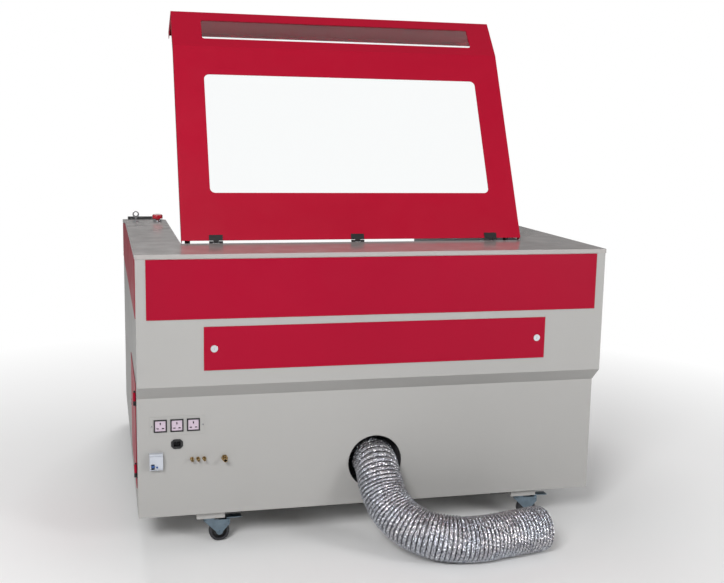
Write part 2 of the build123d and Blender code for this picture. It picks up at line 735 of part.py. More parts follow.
def barb(x, z, hole, hexagon, reach):
    """Bulkhead hose barb: a hexagon outside, a ridged tail out and a threaded stub in."""
    stub = rod((x, Y_LOW - 12, z), hole - 0.5, 26.0, "y")
    nut = Pos(x, Y_LOW + 3, z) * Rot(90, 0, 0) * extrude(RegularPolygon(hexagon, 6), 3.0, both=True)
    tail = rod((x, Y_LOW + reach / 2, z), hole - 1.5, reach, "y")
    for step in range(3):
        y = Y_LOW + reach - 3.0 - 5.0 * step
        tail += Pos(x, y, z) * Rot(90, 0, 0) * Cone(hole - 0.5, hole - 1.5, 4.0)
    return stub + nut + tail - rod((x, Y_LOW, z), hole - 3.0, 200.0, "y")


def hose_barbs():
    """Three small water and air barbs, and one larger barb beside them."""
    small = [barb(x, BARB_Z, BARB_HOLE, 7.5, 26.0) for x in BARB_X]
    return group(small + [barb(GLAND[0], GLAND[1], GLAND_HOLE, 12.0, 34.0)])


# ---- exhaust ------------------------------------------------------------
SPIGOT_END = 760.0
DUCT_START = 700.0
DUCT_LEAD = 812.0


def exhaust_plenum():
    """Sheet box under the chamber's exhaust slot, with a round spigot towards the rear."""
    z = (160.0 + 12.0, CHAMBER_FLOOR)
    box = block((-180, 180), (380, 640), z)
    box -= block((-178, 178), (382, 638), (z[0] + 2, z[1] + 1))
    spigot = rod((0, (636 + SPIGOT_END) / 2, HOLE_HEIGHT), 75.5, SPIGOT_END - 636, "y")
    bore = rod((0, (630 + SPIGOT_END) / 2, HOLE_HEIGHT), 73.5, SPIGOT_END - 600, "y")
    return box + spigot - bore


def duct_bend():
    """Centre line of the flexible duct: out of the hole, down, and along the floor."""
    floor_z = DUCT_RADIUS + DUCT_CLEARANCE
    return Spline(
        (0, DUCT_LEAD, HOLE_HEIGHT),
        (-8, 926, 196),
        (-115, 1078, 102),
        (-250, 1117, floor_z),
        (-452, 1090, floor_z),
        tangents=[(0, 1, 0), (-0.98, -0.19, 0)],
    )


def duct_section(path):
    """One length of the duct's wall, swept along part of its centre line."""
    wall = Circle(DUCT_RADIUS) - Circle(DUCT_RADIUS - DUCT_WALL)
    return sweep(Plane(origin=path @ 0, z_dir=path % 0) * wall, path=path)


def exhaust_duct():
    """Flexible foil duct as a smooth tube, divided across its length into touching sections."""
    bend = duct_bend()
    start = Vector(0, DUCT_START, HOLE_HEIGHT)
    finish = bend @ 1 + (bend % 1) * DUCT_END
    sections = [duct_section(Line(start, bend @ 0))]
    for i in range(DUCT_SECTIONS):
        sections.append(duct_section(bend.trim(i / DUCT_SECTIONS, (i + 1) / DUCT_SECTIONS)))
    sections.append(duct_section(Line(bend @ 1, finish)))
    return group(sections)


# ---- laser source, optics and motion ------------------------------------
BEAM_X = 645.0
TUBE_X = (-800.0, 600.0)
GANTRY_Y = 480.0
RAIL_Z = (665.0, 685.0)
BELT_Z = 704.0
BELT_RADIUS = 14.0
SHAFT_Y = 548.0
IDLER_Y = -370.0
BELT_X = {"right": (644.0, 652.0), "left": (-617.0, -609.0)}
RAIL_X = {"right": (655.0, BAY_RIGHT), "left": (BAY_LEFT, -620.0)}
BEAM_Z = (724.0, 774.0)
HEAD_X = 540.0
HEAD_Y = GANTRY_Y - 20.0


def laser_tube():
    """Glass laser tube: outer envelope with its two metal end rings and mirrors."""
    middle = sum(TUBE_X) / 2
    length = TUBE_X[1] - TUBE_X[0]
    glass = rod((middle, TUBE_Y, BEAM_HEIGHT), TUBE_RADIUS, length - 160, "x")
    neck = rod((middle, TUBE_Y, BEAM_HEIGHT), 15.0, length, "x")
    return glass + neck


def tube_mounts():
    """Two cradles that hold the laser tube, standing on the shelf behind the chamber."""
    out = []
    for x in (-520.0, 320.0):
        y = (TUBE_Y - 55, TUBE_Y + 45)
        stand = block((x - 20, x + 20), y, (SHELF_TOP, BEAM_HEIGHT + 10))
        stand -= rod((x, TUBE_Y, BEAM_HEIGHT), TUBE_RADIUS + 2, 60, "x")
        mouth = (TUBE_Y - TUBE_RADIUS - 2, TUBE_Y + TUBE_RADIUS + 2)
        out.append(stand - block((x - 30, x + 30), mouth, (BEAM_HEIGHT, BEAM_HEIGHT + 60)))
    return out


def tube_shelf():
    """Shelf behind the chamber that carries the tube cradles and the first mirror."""
    return block(
        (-X_SIDE + SHEET + 1, X_SIDE - SHEET - 1),
        (CHAMBER_REAR + SHEET, Y_LOW - 6),
        (CHAMBER_FLOOR, SHELF_TOP),
    )


def tube_supports():
    """The tube's shelf and its two cradles."""
    return group([tube_shelf()] + tube_mounts())


def mirror_mount(x, y, z, facing, foot_z):
    """A round mirror at 45 degrees in a square plate, on a foot."""
    plate = Box(44, 8, 44) + rod((0, 0, 0), 14.0, 14.0, "y")
    plate = Pos(x, y, z) * Rot(0, 0, facing) * plate
    return plate + block((x - 8, x + 8), (y - 8, y + 8), (foot_z, z - 10))


def fixed_mirror():
    return mirror_mount(BEAM_X, TUBE_Y, BEAM_HEIGHT, 45.0, SHELF_TOP)


def y_rails():
    """Two guide rails along the chamber's side walls."""
    span = (IDLER_Y - 10, SHAFT_Y + 18)
    return group([block(RAIL_X[side], span, RAIL_Z) for side in ("right", "left")])


def belt_loop(x):
    """Closed belt round two pulleys, along Y."""
    outer = BELT_RADIUS + 2.0
    long = block(x, (IDLER_Y, SHAFT_Y), (BELT_Z - outer, BELT_Z + outer))
    loop = long + rod((sum(x) / 2, IDLER_Y, BELT_Z), outer, x[1] - x[0], "x")
    loop += rod((sum(x) / 2, SHAFT_Y, BELT_Z), outer, x[1] - x[0], "x")
    hollow = block((x[0] - 1, x[1] + 1), (IDLER_Y, SHAFT_Y), (BELT_Z - BELT_RADIUS, BELT_Z + BELT_RADIUS))
    for y in (IDLER_Y, SHAFT_Y):
        hollow += rod((sum(x) / 2, y, BELT_Z), BELT_RADIUS + RUN_GAP, x[1] - x[0] + 2, "x")
    return loop - hollow


def y_belts():
    return group([belt_loop(BELT_X[side]) for side in ("right", "left")])


def y_drive_shaft():
    """Cross shaft that turns both belts, with its two toothed pulleys."""
    shaft = rod(((BELT_X["right"][1] + BELT_X["left"][0]) / 2, SHAFT_Y, BELT_Z), 6.0, 1265.0, "x")
    for x in BELT_X.values():
        shaft += rod((sum(x) / 2, SHAFT_Y, BELT_Z), BELT_RADIUS, x[1] - x[0], "x")
    return shaft


def y_bearings():
    """Brackets and double-shaft motor for the cross shaft, and the two idlers."""
    out = []
    for x in ((-560.0, -548.0), (583.0, 595.0), (-10.0, 46.0)):
        stand = block(x, (SHAFT_Y - 18, CHAMBER_REAR), (BELT_Z - 30, BELT_Z + 18))
        out.append(stand - rod((sum(x) / 2, SHAFT_Y, BELT_Z), 6.0 + RUN_GAP, 80, "x"))
    for side in ("right", "left"):
        x = BELT_X[side]
        wheel = rod((sum(x) / 2, IDLER_Y, BELT_Z), BELT_RADIUS, x[1] - x[0], "x")
        wall = BAY_RIGHT if side == "right" else BAY_LEFT
        near = x[1] if side == "right" else x[0]
        axle = rod(((near + wall) / 2, IDLER_Y, BELT_Z), 5.0, abs(wall - near), "x")
        out.append(wheel + axle)
    return group(out)


X_BELT_Z = (775.0, 783.0)
X_BELT_ENDS = (-559.0, 618.0)
X_BELT_RADIUS = 9.0


def stadium(radius, z):
    """A flat rounded bar between the X belt's two pulleys."""
    bar = block(X_BELT_ENDS, (GANTRY_Y - radius, GANTRY_Y + radius), z)
    for x in X_BELT_ENDS:
        bar += rod((x, GANTRY_Y, sum(z) / 2), radius, z[1] - z[0])
    return bar


def gantry_beam():
    """Cross beam with its carriages, X motor and second mirror, and the X belt as its own solid."""
    front = GANTRY_Y - 20.0
    rear = GANTRY_Y + 20.0
    beam = block((RAIL_X["left"][0] + 2, RAIL_X["right"][1] - 2), (front, rear), BEAM_Z)
    beam -= block((-700, 700), (front + 4, rear - 4), (BEAM_Z[0] + 4, BEAM_Z[1] - 4))
    for x in ((655.0, BAY_RIGHT - 2), (BAY_LEFT + 2, -620.0)):
        beam += block(x, (GANTRY_Y - 40, GANTRY_Y + 40), (RAIL_Z[1] + RUN_GAP, BEAM_Z[0]))
    for x in X_BELT_ENDS:
        beam += rod((x, GANTRY_Y, 779.0), X_BELT_RADIUS - RUN_GAP, 10.0)
    motor_x = X_BELT_ENDS[0]
    beam += block((motor_x - 21, motor_x + 21), (GANTRY_Y - 17, GANTRY_Y + 17), (784.0, 826.0))
    belt = stadium(X_BELT_RADIUS + 2.0, X_BELT_Z) - stadium(X_BELT_RADIUS, (774.0, 784.0))
    return group([beam + gantry_mirror(), belt])


def gantry_mirror():
    """Second mirror, on an arm in front of the gantry beam's right end."""
    y = GANTRY_Y - 56.0
    plate = Pos(BEAM_X, y, BEAM_HEIGHT + 8) * Rot(0, 0, 45) * (Box(40, 8, 36) + rod((0, 0, 0), 13, 12, "y"))
    arm = block((BEAM_X - 6, BEAM_X + 6), (y, GANTRY_Y - 20), (BEAM_HEIGHT + 22, BEAM_HEIGHT + 30))
    return plate + arm


def laser_head():
    """Head carriage on the beam's front face, with the third mirror and the focusing nozzle."""
    x = HEAD_X
    y = HEAD_Y - RUN_GAP
    plate = block((x - 40, x + 40), (y - 10, y), (BEAM_Z[0] - 6, BEAM_Z[1] + 2))
    block_x = block((x - 20, x + 20), (y - 46, y - 10), (BEAM_HEIGHT - 20, BEAM_HEIGHT + 20))
    barrel = rod((x, y - 30, 706), 12.0, 40.0)
    nozzle = Pos(x, y - 30, 674) * Cone(5.0, 12.0, 26.0)
    clamp = block((x - 10, x + 10), (y - 10, GANTRY_Y - X_BELT_RADIUS - 2.0), (775.5, 783.0))
    head = plate + block_x + barrel + nozzle + clamp
    return head - rod((x, y - 30, 690), 3.0, 80.0)


def honeycomb_bed():
    """Work bed: edge frame with slats, standing on four short legs."""
    x = (-600.0, 635.0)
    y = (CHAMBER_FRONT + 20, 520.0)
    z = (CHAMBER_FLOOR + 26.0, CHAMBER_FLOOR + 50.0)
    bed = block(x, y, z) - block((x[0] + 12, x[1] - 12), (y[0] + 12, y[1] - 12), (z[0] - 1, z[1] + 1))
    pitch = 52.0
    slats = []
    count = int((x[1] - x[0] - 24) / pitch)
    for i in range(1, count + 1):
        at = x[0] + 12 + i * (x[1] - x[0] - 24) / (count + 1)
        slats.append(block((at - 1.5, at + 1.5), (y[0] + 11, y[1] - 11), z))
    bed += slats
    for leg_x in (x[0] + 6, x[1] - 6):
        for leg_y in (y[0] + 6, y[1] - 6):
            bed += rod((leg_x, leg_y, (z[0] + CHAMBER_FLOOR + SHEET) / 2), 5.0, z[0] - CHAMBER_FLOOR - SHEET)
    return bed


def laser_power_supply():
    """High-voltage supply on the base floor."""
    case = block((300, 460), (380, 560), (172, 320))
    return case - rod((300, 470, 250), 30.0, 6.0, "x")


def control_electronics():
    """Controller and two motor drivers on the base floor, behind the side door."""
    low = Z_BASE + SHEET
    out = [block((520, 700), (400, 640), (low + 42, low + 92))]
    for y in (420.0, 520.0):
        out.append(block((740, 780), (y, y + 76), (low + 42, low + 160)))
    return group(out)


# ---- operator's controls ------------------------------------------------
PANEL_Y = -560.0
PANEL_X = 763.0


def on_slope(y, height):
    """Z on the cheek's sloping top at a given Y, raised by a height."""
    return Z_TOP - (Y_BREAK - y) * TOP_SLOPE + height


def control_panel():
    """Keypad housing on the right cheek's slope, with its screen and a membrane keypad."""
    angle = math.degrees(math.atan(TOP_SLOPE))
    place = Pos(PANEL_X, PANEL_Y, on_slope(PANEL_Y, 0)) * Rot(angle, 0, 0)
    low = (Align.CENTER, Align.CENTER, Align.MIN)
    housing = Box(140, 200, 14, align=low)
    housing = fillet(housing.edges().filter_by(Axis.Z), 8.0)
    housing -= Pos(0, 40, 12.5) * Box(112, 84, 4, align=low)
    housing -= Pos(0, -54, 12.5) * Box(112, 72, 4, align=low)
    return place * housing


def panel_inserts():
    """The screen and the membrane keypad, each lying in its recess."""
    angle = math.degrees(math.atan(TOP_SLOPE))
    place = Pos(PANEL_X, PANEL_Y, on_slope(PANEL_Y, 0)) * Rot(angle, 0, 0)
    low = (Align.CENTER, Align.CENTER, Align.MIN)
    screen = Pos(0, 40, 12.5) * Box(112, 84, 1.0, align=low)
    keypad = Pos(0, -54, 12.5) * Box(112, 72, 1.0, align=low)
    return group([place * screen, place * keypad])


def switch_bodies():
    """Fixed bodies of the emergency stop and of the key switch, through the cheek's top."""
    x, y = ESTOP
    collar = rod((x, y, Z_TOP + 4), 19.0, 8.0)
    neck = rod((x, y, Z_TOP - 25), 11.0, 50.0)
    stop = collar + neck - rod((x, y, Z_TOP), 7.0 + RUN_GAP, 120.0)
    x, y = KEY
    barrel = rod((x, y, Z_TOP - 16), 9.5, 32.0) + rod((x, y, Z_TOP + 2.5), 14.0, 5.0)
    return group([stop, barrel - rod((x, y, Z_TOP), 6.0 + RUN_GAP, 40.0)])


def emergency_stop():
    """Mushroom head on a stem that runs in the base."""
    x, y = ESTOP
    cap = rod((x, y, Z_TOP + 24), 22.0, 18.0)
    cap = fillet(cap.edges().filter_by(GeomType.CIRCLE).sort_by(Axis.Z)[-1], 7.0)
    return cap + rod((x, y, Z_TOP - 5), 7.0, 42.0)


def key():
    """Key with a round bow, standing in its rotor."""
    x, y = KEY
    rotor = rod((x, y, Z_TOP - 4), 6.0, 22.0)
    blade = centred((x, y, Z_TOP + 14), (7.0, 2.4, 16.0))
    bow = rod((x, y, Z_TOP + 33), 14.0, 2.4, "y") - rod((x, y, Z_TOP + 35), 8.0, 10.0, "y")
    return rotor + blade + bow


# ---- castors ------------------------------------------------------------
CASTORS = {
    "rear_right": (CASTOR_X, CASTOR_Y),
    "rear_left": (-CASTOR_X, CASTOR_Y),
    "front_right": (CASTOR_X, -CASTOR_Y),
    "front_left": (-CASTOR_X, -CASTOR_Y),
}
PAD_LOW = 102.0
PLATE_LOW = 98.5
FORK_TOP = 92.0
AXLE_Z = WHEEL_RADIUS
LEG_GAP = WHEEL_WIDTH / 2 + 1.5
BRAKE_REACH = 66.0
BRAKE_Z = 72.0
BRAKE_PIN = 2.5
PAD_HALF = 50.0
BLOCK_REACH = 118.0
BLOCK_SETBACK = 40.0


def castor_mounts():
    """Four welded pads under the base, each with an inboard block, a top plate and a swivel pin."""
    out = []
    for x, y in CASTORS.values():
        inward = -math.copysign(1, x)
        outward = math.copysign(1, y)
        ends = (x + inward * PAD_HALF, x + inward * BLOCK_REACH)
        depth = (y - outward * PAD_HALF, y + outward * (PAD_HALF - BLOCK_SETBACK))
        pad = block((x - PAD_HALF, x + PAD_HALF), (y - PAD_HALF, y + PAD_HALF), (PAD_LOW, Z_BASE))
        pad += block(sorted(ends), sorted(depth), (PAD_LOW, Z_BASE))
        plate = block((x - 47, x + 47), (y - 36, y + 36), (PLATE_LOW, PAD_LOW))
        race = rod((x, y, (FORK_TOP + 0.5 + PLATE_LOW) / 2), 20.0, PLATE_LOW - FORK_TOP - 0.5)
        pin = rod((x, y, 88.0), 5.0, 20.0)
        out.append(pad + plate + race + pin)
    return group(out)


def castor_fork(x, y):
    """Swivel fork: head round the pin, two raked legs and the wheel's axle."""
    wheel_x = x - CASTOR_TRAIL
    head = rod((x, y, FORK_TOP - 5), 24.0, 10.0)
    bridge = block((x - 30, x + 14), (y - LEG_GAP - 3, y + LEG_GAP + 3), (FORK_TOP - 10, FORK_TOP - 7))
    fork = head + bridge - rod((x, y, 86.0), 5.0 + RUN_GAP, 30.0)
    for side in (-1, 1):
        leg = side * (LEG_GAP + 1.5)
        face = make_face(
            Polyline(
                (x + 24, 0, FORK_TOP - 9),
                (x - BRAKE_REACH - 6, 0, FORK_TOP - 9),
                (x - BRAKE_REACH - 6, 0, BRAKE_Z - 6),
                (wheel_x - 12, 0, AXLE_Z),
                (wheel_x + 12, 0, AXLE_Z),
                close=True,
            )
        )
        plate = extrude(face, amount=1.5, dir=(0, 1, 0), both=True)
        plate += rod((wheel_x, 0, AXLE_Z), 12.0, 3.0, "y")
        fork += Pos(0, y + leg, 0) * plate
    fork += rod((wheel_x, y, AXLE_Z), 5.0, 2 * LEG_GAP + 14, "y")
    return fork + rod((x - BRAKE_REACH, y, BRAKE_Z), BRAKE_PIN, 2 * LEG_GAP + 10, "y")


def castor_wheel(x, y):
    """Rubber-tyred wheel with a recessed hub on both faces."""
    centre = (x - CASTOR_TRAIL, y, AXLE_Z)
    wheel = rod(centre, WHEEL_RADIUS, WHEEL_WIDTH, "y")
    rims = wheel.edges().filter_by(GeomType.CIRCLE)
    wheel = fillet(rims, 5.0)
    for side in (-1, 1):
        face = (centre[0], y + side * WHEEL_WIDTH / 2, centre[2])
        wheel -= ring(face, 26.0, 11.0, 8.0, "y")
    return wheel - rod(centre, 5.0 + RUN_GAP, WHEEL_WIDTH + 10, "y")


def castor_brake(x, y):
    """Foot pedal beside the wheel, turning on the fork's brake pin."""
    pivot_x = x - BRAKE_REACH
    pedal = block((pivot_x - 48, pivot_x + 6), (y - 15, y + 15), (86.0, 89.0))
    arm = block((pivot_x - 6, pivot_x + 6), (y - 13, y + 13), (BRAKE_Z - 6, 86.0))
    return pedal + arm - rod((pivot_x, y, BRAKE_Z), BRAKE_PIN + RUN_GAP, 60, "y")


NODES = {
    "base_shell": base_shell,
    "base_frame": base_frame,
    "upper_shell": upper_shell,
    "top_plate": top_plate,
    "stripe_panels": stripe_panels,
    "front_deck": front_deck,
    "work_chamber": work_chamber,
    "rear_door": rear_door,
    "side_door": side_door,
    "front_door": front_door,
    "lid_shell": lid_shell,
    "lid_panes": lid_panes,
    "lid_hinge_leaves": lid_hinge_leaves,
    "hinge_pins": hinge_pins,
    "lid_handle": lid_handle,
    "strut_anchors": strut_anchors,
    "socket_plate": socket_plate,
    "power_sockets": sockets,
    "power_inlet": power_inlet,
    "breaker_body": breaker_body,
    "breaker_toggle": breaker_toggle,
    "breaker_test_button": breaker_test_button,
    "hose_barbs": hose_barbs,
    "exhaust_plenum": exhaust_plenum,
    "exhaust_duct": exhaust_duct,
    "laser_tube": laser_tube,
    "tube_supports": tube_supports,
    "fixed_mirror": fixed_mirror,
    "y_rails": y_rails,
    "y_belts": y_belts,
    "y_drive_shaft": y_drive_shaft,
    "y_bearings": y_bearings,
    "gantry_beam": gantry_beam,
    "laser_head": laser_head,
    "honeycomb_bed": honeycomb_bed,
    "laser_power_supply": laser_power_supply,
    "control_electronics": control_electronics,
    "control_panel": control_panel,
    "panel_inserts": panel_inserts,
    "switch_bodies": switch_bodies,
    "emergency_stop": emergency_stop,
    "key": key,
    "castor_mounts": castor_mounts,
}


def build():
    os.makedirs("parts", exist_ok=True)
    for name, make in NODES.items():
        save(name, make())
    save("rear_door_lock_right", cam_lock(LOCK_X[1], Y_REAR, LOCK_Z, "y", (0, 0, 1)))
    save("rear_door_lock_left", cam_lock(LOCK_X[0], Y_REAR, LOCK_Z, "y", (0, 0, 1)))
    save("side_door_lock", cam_lock(X_SIDE + 1, SIDE_LOCK[0], SIDE_LOCK[1], "x", (0, 0, 1)))
    for side, x in STRUT_X.items():
        save(f"strut_cylinder_{side}", strut_cylinder(x))
        save(f"strut_rod_{side}", strut_rod(x))
    for place, (x, y) in CASTORS.items():
        save(f"castor_fork_{place}", castor_fork(x, y))
        save(f"castor_wheel_{place}", castor_wheel(x, y))
        if place.startswith("rear"):
            save(f"castor_brake_{place}", castor_brake(x, y))


build()
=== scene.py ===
import math

import bmesh
import bpy
import numpy as np
from mathutils import Matrix, Vector, noise


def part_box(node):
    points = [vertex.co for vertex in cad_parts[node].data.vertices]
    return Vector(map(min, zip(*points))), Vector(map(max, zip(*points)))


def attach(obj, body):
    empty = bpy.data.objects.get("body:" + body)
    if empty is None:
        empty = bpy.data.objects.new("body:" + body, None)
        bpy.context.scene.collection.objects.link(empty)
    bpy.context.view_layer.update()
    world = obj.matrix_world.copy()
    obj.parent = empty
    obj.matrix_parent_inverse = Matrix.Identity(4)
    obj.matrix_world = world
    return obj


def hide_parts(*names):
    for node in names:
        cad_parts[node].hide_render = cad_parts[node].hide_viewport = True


# Looks of a floor-standing laser cutter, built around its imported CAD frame. Metres, +Z up.

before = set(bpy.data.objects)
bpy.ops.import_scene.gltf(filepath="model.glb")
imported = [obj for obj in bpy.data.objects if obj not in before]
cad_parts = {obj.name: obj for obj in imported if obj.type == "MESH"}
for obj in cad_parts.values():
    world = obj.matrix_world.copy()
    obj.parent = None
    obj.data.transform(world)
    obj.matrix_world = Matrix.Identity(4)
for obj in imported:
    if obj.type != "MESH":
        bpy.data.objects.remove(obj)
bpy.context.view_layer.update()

MM = 0.001
PLACES = ("rear_right", "rear_left", "front_right", "front_left")


def middle(node):
    """The centre of a node's box at rest."""
    low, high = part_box(node)
    return (low + high) / 2


CABINET = middle("base_shell")


def srgb(red, green, blue):
    """A display colour, 0 to 255, as the linear colour that shaders take."""

    def linear(value):
        value /= 255.0
        return value / 12.92 if value <= 0.04045 else ((value + 0.055) / 1.055) ** 2.4

    return (linear(red), linear(green), linear(blue), 1.0)


# ---- materials ----------------------------------------------------------
class Shader:
    """A node material under construction, around one Principled BSDF."""

    def __init__(self, name):
        self.material = bpy.data.materials.new(name)
        self.material.use_nodes = True
        self.tree = self.material.node_tree
        self.bsdf = self.tree.nodes["Principled BSDF"]
        self.place = self.add("ShaderNodeTexCoord").outputs["Object"]

    def add(self, kind, inputs=None, **settings):
        """A node of a kind, with its inputs linked or set."""
        node = self.tree.nodes.new(kind)
        for key, value in settings.items():
            setattr(node, key, value)
        for key, value in (inputs or {}).items():
            if isinstance(value, bpy.types.NodeSocket):
                self.tree.links.new(value, node.inputs[key])
            else:
                node.inputs[key].default_value = value
        return node

    def set(self, **values):
        """Sets or links the Principled inputs named."""
        for key, value in values.items():
            name = key.replace("_", " ")
            if isinstance(value, bpy.types.NodeSocket):
                self.tree.links.new(value, self.bsdf.inputs[name])
            else:
                self.bsdf.inputs[name].default_value = value

    def stretched(self, scale):
        """Object coordinates, scaled along each axis."""
        return self.add("ShaderNodeMapping", {"Vector": self.place, "Scale": scale}).outputs[0]

    def noise(self, scale, detail=3.0, vector=None):
        """Noise with scale features to the metre."""
        inputs = {"Vector": vector or self.place, "Scale": scale, "Detail": detail}
        return self.add("ShaderNodeTexNoise", inputs).outputs["Fac"]

    def spread(self, value, low, high, start=0.3, stop=0.7):
        """Maps start to stop onto low to high."""
        inputs = {"Value": value, "From Min": start, "From Max": stop, "To Min": low, "To Max": high}
        return self.add("ShaderNodeMapRange", inputs).outputs[0]

    def mix(self, factor, first, second):
        """The first colour at factor 0, the second at factor 1."""
        node = self.add("ShaderNodeMix", data_type="RGBA")
        for index, value in ((0, factor), (6, first), (7, second)):
            if isinstance(value, bpy.types.NodeSocket):
                self.tree.links.new(value, node.inputs[index])
            else:
                node.inputs[index].default_value = value
        return node.outputs[2]

    def bump(self, height, depth, strength=1.0, edge=0.0):
        """A normal bumped by a height, over edges rounded by a radius."""
        inputs = {"Height": height, "Distance": depth, "Strength": strength}
        if edge:
            soft = self.add("ShaderNodeBevel", {"Radius": edge}, samples=4)
            inputs["Normal"] = soft.outputs[0]
        return self.add("ShaderNodeBump", inputs).outputs[0]


# Between these heights in metres a surface can darken towards the bottom, mixing in the colour below.
LOW_DARKENING_HEIGHTS = (0.12, 0.62)
LOW_DARKENING_COLOUR = srgb(96, 92, 86)


def surface(name, colour, rough, metal=0.0, mottle=0.05, patch=3.0, grain=900.0, depth=0.000012,
            stretch=(1.0, 1.0, 1.0), edge=0.0008, coat=0.0, low_darkening=0.0, gloss=0.5):
    """Painted, moulded or metal surface: mottled colour, uneven roughness, fine grain and soft edges."""
    shader = Shader(name)
    grain_space = shader.stretched(stretch)
    value = shader.spread(shader.noise(patch, 5.0), 1.0 - mottle, 1.0 + mottle)
    inputs = {"Color": colour, "Value": value}
    tone = shader.add("ShaderNodeHueSaturation", inputs).outputs[0]
    # Darker towards the bottom: more of the low colour nearer the lower height.
    if low_darkening:
        height = shader.add("ShaderNodeSeparateXYZ", {"Vector": shader.place}).outputs["Z"]
        lowness = shader.spread(height, low_darkening, 0.0, *LOW_DARKENING_HEIGHTS)
        tone = shader.mix(lowness, tone, LOW_DARKENING_COLOUR)
    shader.set(Base_Color=tone, Metallic=metal, Coat_Weight=coat, Coat_Roughness=0.12)
    shader.set(Specular_IOR_Level=gloss)
    shader.set(Roughness=shader.spread(shader.noise(patch * 6.0, 4.0), rough - 0.05, rough + 0.07))
    shader.set(Normal=shader.bump(shader.noise(grain, 2.0, grain_space), depth, 0.6, edge))
    return shader.material


def foil():
    """Crinkled laminated foil: bright ribs between grooves darkened by painted shade, broken into small
    facets.
    """
    shader = Shader("foil")
    rib = shader.add("ShaderNodeAttribute", attribute_name="rib").outputs["Fac"]
    facet = shader.add("ShaderNodeTexVoronoi", {"Vector": shader.place, "Scale": 220.0})
    fleck = shader.spread(shader.noise(210.0, 2.0), 0.0, 1.0, 0.38, 0.62)
    tint = shader.spread(shader.noise(9.0, 2.0), 0.0, 1.0, 0.42, 0.58)
    silver = shader.mix(tint, srgb(236, 240, 246), srgb(238, 236, 238))
    creased = shader.mix(fleck, silver, srgb(128, 130, 142))
    # Painted shade: the colour darkens towards each turn of the wire, in the grooves between the ribs.
    groove_shade = shader.spread(rib, 1.0, 0.0, 0.06, 0.5)
    shader.set(Base_Color=shader.mix(groove_shade, creased, srgb(36, 36, 44)), Metallic=1.0)
    shader.set(Roughness=shader.spread(shader.noise(220.0), 0.12, 0.30))
    shader.set(Normal=shader.bump(facet.outputs["Distance"], 0.0034, 0.8))
    return shader.material


def clear(name, colour, rough=0.02, ior=1.49):
    """Clear sheet or glass with faint smears."""
    shader = Shader(name)
    shader.set(Base_Color=colour, Transmission_Weight=1.0, IOR=ior, Specular_IOR_Level=0.3)
    shader.set(Roughness=shader.spread(shader.noise(9.0, 6.0), rough, rough + 0.03))
    shader.set(Normal=shader.bump(shader.noise(2.5, 1.0), 0.0002, 0.2))
    return shader.material


GREY = surface("grey_powder_coat", srgb(165, 164, 162), 0.48, mottle=0.02, patch=1.6, low_darkening=0.08)
TOP_GREY = surface("top_powder_coat", srgb(172, 168, 166), 0.16, mottle=0.02, patch=2.0, grain=300.0,
                   depth=0.000002, gloss=0.9)
RED = surface("red_powder_coat", srgb(156, 2, 40), 0.42, mottle=0.03, patch=1.8, gloss=0.16)
LID_RED = surface("lid_powder_coat", srgb(168, 3, 40), 0.42, mottle=0.03, patch=1.8, gloss=0.2)
FRAME_GREY = surface("frame_paint", srgb(120, 120, 124), 0.5)
DARK = surface("satin_black", srgb(24, 24, 26), 0.38, mottle=0.15, patch=30.0)
BLACK_PLASTIC = surface("moulded_black", srgb(28, 28, 30), 0.45, mottle=0.1, grain=1600.0)
WHITE_PLASTIC = surface("moulded_white", srgb(184, 188, 196), 0.35, mottle=0.02, grain=1600.0)
PINK_PLASTIC = surface("socket_insert", srgb(190, 174, 188), 0.35, mottle=0.02, grain=1600.0)
BLUE_PLASTIC = surface("moulded_blue", srgb(52, 84, 140), 0.3, mottle=0.04)
RED_PLASTIC = surface("moulded_red", srgb(178, 18, 40), 0.18, mottle=0.05, coat=0.8)
CHROME = surface("chrome", srgb(206, 208, 212), 0.10, 1.0, mottle=0.04, patch=40.0)
STEEL = surface("ground_steel", srgb(176, 178, 182), 0.26, 1.0, stretch=(0.05, 1, 1), depth=0.00006)
ZINC = surface("zinc_plate", srgb(120, 136, 148), 0.36, 1.0, mottle=0.16, patch=46.0)
BRASS = surface("brass", srgb(150, 128, 92), 0.22, 1.0, mottle=0.1, patch=60.0)
ALUMINIUM = surface("anodised", srgb(168, 170, 174), 0.36, 0.9, stretch=(0.08, 1, 1))
RUBBER = surface("castor_rubber", srgb(38, 38, 42), 0.58, mottle=0.2, patch=38.0, depth=0.0001)
BELT = surface("belt_rubber", srgb(26, 26, 28), 0.6, mottle=0.1)
PANEL = surface("panel_gloss", srgb(30, 44, 60), 0.12, mottle=0.08, coat=0.6)
FOIL = foil()
ACRYLIC = clear("acrylic", (0.97, 0.985, 0.985, 1.0))
GLASS = clear("tube_glass", (0.93, 0.97, 0.98, 1.0), ior=1.5)


# ---- mesh helpers -------------------------------------------------------
def dress(data, material, sharp_degrees):
    """Gives a mesh one material, and smooth shading up to an angle."""
    data.materials.clear()
    data.materials.append(material)
    data.shade_smooth()
    data.set_sharp_from_angle(angle=math.radians(sharp_degrees))


def finish_mesh(piece, material, body, sharp_degrees=38):
    """Gives a piece its material, shading and body."""
    dress(piece.data, material, sharp_degrees)
    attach(piece, body)
    return piece


def from_bmesh(name, build):
    """Turns a finished bmesh into an object in the scene."""
    bmesh.ops.recalc_face_normals(build, faces=build.faces)
    data = bpy.data.meshes.new(name)
    build.to_mesh(data)
    build.free()
    piece = bpy.data.objects.new(name, data)
    bpy.context.scene.collection.objects.link(piece)
    return piece


# Points closer than this, in metres, are one point.
MERGE = 1e-6


